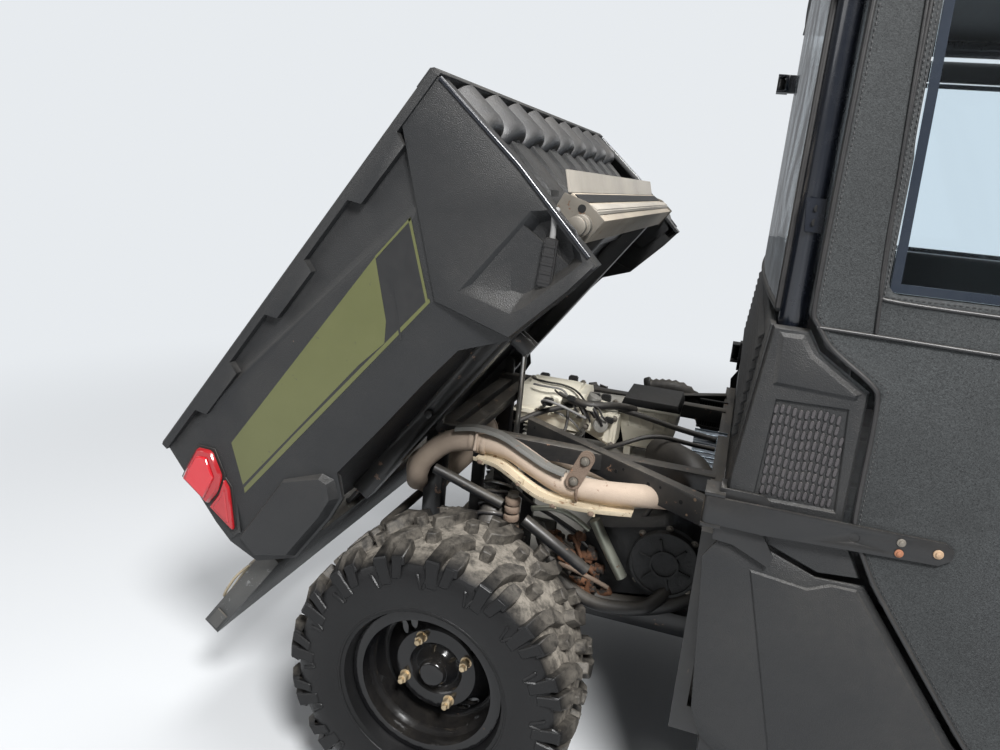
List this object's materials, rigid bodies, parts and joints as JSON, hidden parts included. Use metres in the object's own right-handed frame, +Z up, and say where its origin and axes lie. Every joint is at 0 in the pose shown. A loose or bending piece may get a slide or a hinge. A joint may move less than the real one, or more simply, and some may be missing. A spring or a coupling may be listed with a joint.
{
  "type": "side by side utv",
  "caption": "Full-size side by side utility vehicle with roll cage, soft doors and roof, and a tipping cargo bed raised over the open engine bay, tailgate open flat",
  "frame": {"origin": "on the ground, in the middle of the vehicle's overall length and width with the bed raised and the tailgate open", "axes": "+X forward, +Y to the vehicle's left, +Z up"},
  "size_m": [3.164, 1.588, 1.9315],
  "materials": {
    "black_steel": "satin, chipped and dusty",
    "rim_paint": "gloss, chipped at the flange",
    "tyre_rubber": "matt, dusty tread",
    "black_plastic": "grained",
    "olive_plastic": "satin",
    "grey_plastic": "worn, dusty",
    "door_fabric": "heavy coated cloth",
    "clear_sheet": "clear",
    "seat_cover": "grained",
    "cast_alloy": "cast, dusty",
    "cream_cover": "moulded, dusty",
    "exhaust_rust": "rusty",
    "shield_steel": "zinc coated",
    "bright_steel": "machined",
    "lamp_red": "clear red lens",
    "lamp_clear": "clear lens",
    "channel_grey": "dusty"
  },
  "bodies": {
    "vehicle": {"airbox": "cream_cover", "airbox_lid": "black_plastic", "cab_rear_panel": "black_plastic", "cab_windows": "clear_sheet", "clutch_housing": "black_plastic", "dashboard": "black_plastic", "driveline": "black_steel", "engine": "cast_alloy", "exhaust": "exhaust_rust", "floor_pan": "black_plastic", "front_body": "black_plastic", "front_bumper": "black_steel", "grille": "black_plastic", "headlamps": "lamp_clear", "heat_shield": "shield_steel", "hinge_brackets": "black_steel", "main_frame": "black_steel", "rockers": "black_plastic", "roll_cage": "black_steel", "roof": "black_plastic", "seat": "seat_cover", "seat_box": "black_plastic", "shocks": "black_steel", "side_panels": "black_plastic", "skid_plate": "black_plastic", "stabilizer_bar": "black_steel", "steering_column": "black_steel", "suspension_arms": "black_steel", "transaxle": "cast_alloy", "valve_cover": "cream_cover"},
    "bed": {"bed_box": "black_plastic", "bed_skins": "black_plastic", "bed_subframe": "black_steel", "headboard_channel": "channel_grey", "tail_lamps": "lamp_red"},
    "tailgate": {"tailgate": "grey_plastic"},
    "strut_barrel": {"strut_barrel": "black_steel"},
    "strut_rod": {"strut_rod": "bright_steel"},
    "hood": {"hood": "olive_plastic"},
    "door_left": {"door_panel_left": "door_fabric", "door_window_left": "clear_sheet", "door_hinge_left": "black_steel"},
    "knuckle_front_left": {"knuckle_front_left": "black_steel"},
    "wheel_front_left": {"tyre_front_left": "tyre_rubber", "rim_front_left": "rim_paint"},
    "wheel_rear_left": {"tyre_rear_left": "tyre_rubber", "rim_rear_left": "rim_paint"},
    "door_right": {"door_panel_right": "door_fabric", "door_window_right": "clear_sheet", "door_hinge_right": "black_steel"},
    "knuckle_front_right": {"knuckle_front_right": "black_steel"},
    "wheel_front_right": {"tyre_front_right": "tyre_rubber", "rim_front_right": "rim_paint"},
    "wheel_rear_right": {"tyre_rear_right": "tyre_rubber", "rim_rear_right": "rim_paint"},
    "steering_rack": {"steering_rack": "bright_steel"},
    "steering_wheel": {"steering_wheel": "black_steel"}
  },
  "joints": [
    {"name": "bed_tip", "type": "hinge", "parent": "vehicle", "child": "bed", "pos_m": [-1.0945, 0, 0.785], "axis": [0, 1, 0], "range_deg": [0, 54]},
    {"name": "tailgate_hinge", "type": "hinge", "parent": "bed", "child": "tailgate", "pos_m": [-1.32301, 0, 0.4875], "axis": [0, 1, 0], "range_deg": [0, 90]},
    {"name": "strut_swing", "type": "hinge", "parent": "vehicle", "child": "strut_barrel", "pos_m": [-0.8995, -0.25, 0.42], "axis": [0, 1, 0], "range_deg": [0, 12.45]},
    {"name": "strut_stroke", "type": "slide", "parent": "strut_barrel", "child": "strut_rod", "axis": [0.0022, 0, 1], "range_m": [-0.2275, 0]},
    {"name": "door_left_hinge", "type": "hinge", "parent": "vehicle", "child": "door_left", "pos_m": [-0.3985, 0.752, 0.845], "axis": [0, 0, 1], "range_deg": [0, 80]},
    {"name": "door_right_hinge", "type": "hinge", "parent": "vehicle", "child": "door_right", "pos_m": [-0.3985, -0.752, 0.845], "axis": [0, 0, -1], "range_deg": [0, 80]},
    {"name": "hood_hinge", "type": "hinge", "parent": "vehicle", "child": "hood", "pos_m": [0.8215, 0, 1.108], "axis": [0, -1, 0], "range_deg": [0, 60]},
    {"name": "steer_left", "type": "hinge", "parent": "vehicle", "child": "knuckle_front_left", "pos_m": [1.1555, 0.6, 0.325], "axis": [0, 0, 1], "range_deg": [-30, 30]},
    {"name": "steer_right", "type": "hinge", "parent": "vehicle", "child": "knuckle_front_right", "pos_m": [1.1555, -0.6, 0.325], "axis": [0, 0, 1], "range_deg": [-30.1, 30.1]},
    {"name": "wheel_front_left_spin", "type": "hinge", "parent": "knuckle_front_left", "child": "wheel_front_left", "pos_m": [1.1555, 0.6795, 0.325], "axis": [0, 1, 0], "continuous": true},
    {"name": "wheel_rear_left_spin", "type": "hinge", "parent": "vehicle", "child": "wheel_rear_left", "pos_m": [-0.9045, 0.6545, 0.325], "axis": [0, 1, 0], "continuous": true},
    {"name": "wheel_front_right_spin", "type": "hinge", "parent": "knuckle_front_right", "child": "wheel_front_right", "pos_m": [1.1555, -0.6795, 0.325], "axis": [0, 1, 0], "continuous": true},
    {"name": "wheel_rear_right_spin", "type": "hinge", "parent": "vehicle", "child": "wheel_rear_right", "pos_m": [-0.9045, -0.6545, 0.325], "axis": [0, 1, 0], "continuous": true},
    {"name": "rack_slide", "type": "slide", "parent": "vehicle", "child": "steering_rack", "axis": [0, 1, 0], "range_m": [-0.046, 0.046]},
    {"name": "steering_wheel_turn", "type": "hinge", "parent": "vehicle", "child": "steering_wheel", "pos_m": [0.4255, 0.33, 1.11], "axis": [-0.766, 0, 0.6428], "range_deg": [-271, 271]}
  ],
  "couplings": [
    {"joint": "strut_swing", "follows": "bed_tip", "ratio": 0.22967},
    {"joint": "strut_stroke", "follows": "bed_tip", "m_per_rad": -0.24119},
    {"joint": "steer_right", "follows": "steer_left", "ratio": 1},
    {"joint": "rack_slide", "follows": "steer_left", "m_per_rad": -0.0875},
    {"joint": "steering_wheel_turn", "follows": "steer_left", "ratio": 9}
  ]
}
